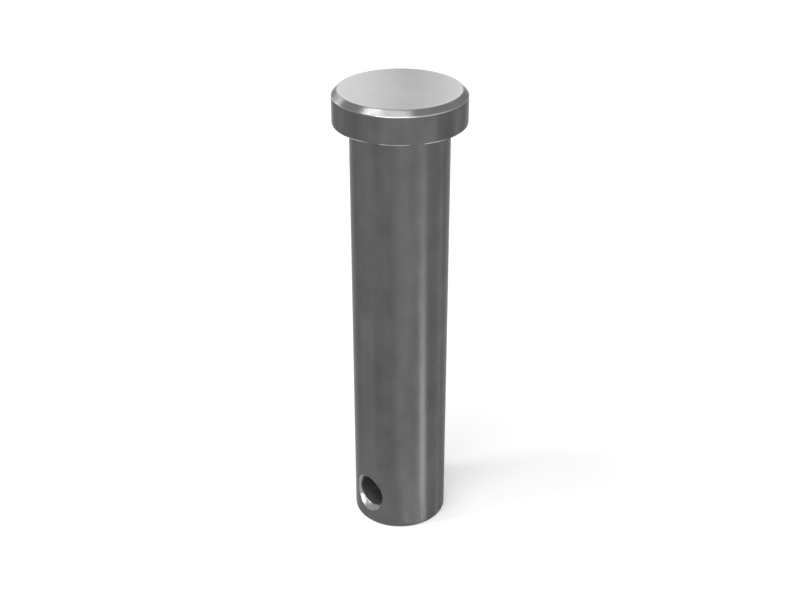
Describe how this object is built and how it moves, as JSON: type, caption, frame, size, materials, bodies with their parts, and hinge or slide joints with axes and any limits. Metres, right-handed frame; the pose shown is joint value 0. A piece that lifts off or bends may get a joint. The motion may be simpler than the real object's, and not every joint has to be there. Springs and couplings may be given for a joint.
{
  "type": "clevis pin",
  "caption": "Plain round steel clevis pin with a flat chamfered head and a countersunk cross hole near its tip for a split pin.",
  "frame": {"origin": "centre of the tip's flat face, on the pin's axis", "axes": "+Z along the pin's axis, from the tip up to the head; the cross hole runs along Y"},
  "size_m": [0.016, 0.016, 0.059],
  "materials": {
    "turned_steel": "fine turned bare steel, satin"
  },
  "bodies": {
    "root": {"clevis_pin": "turned_steel"}
  },
  "joints": []
}
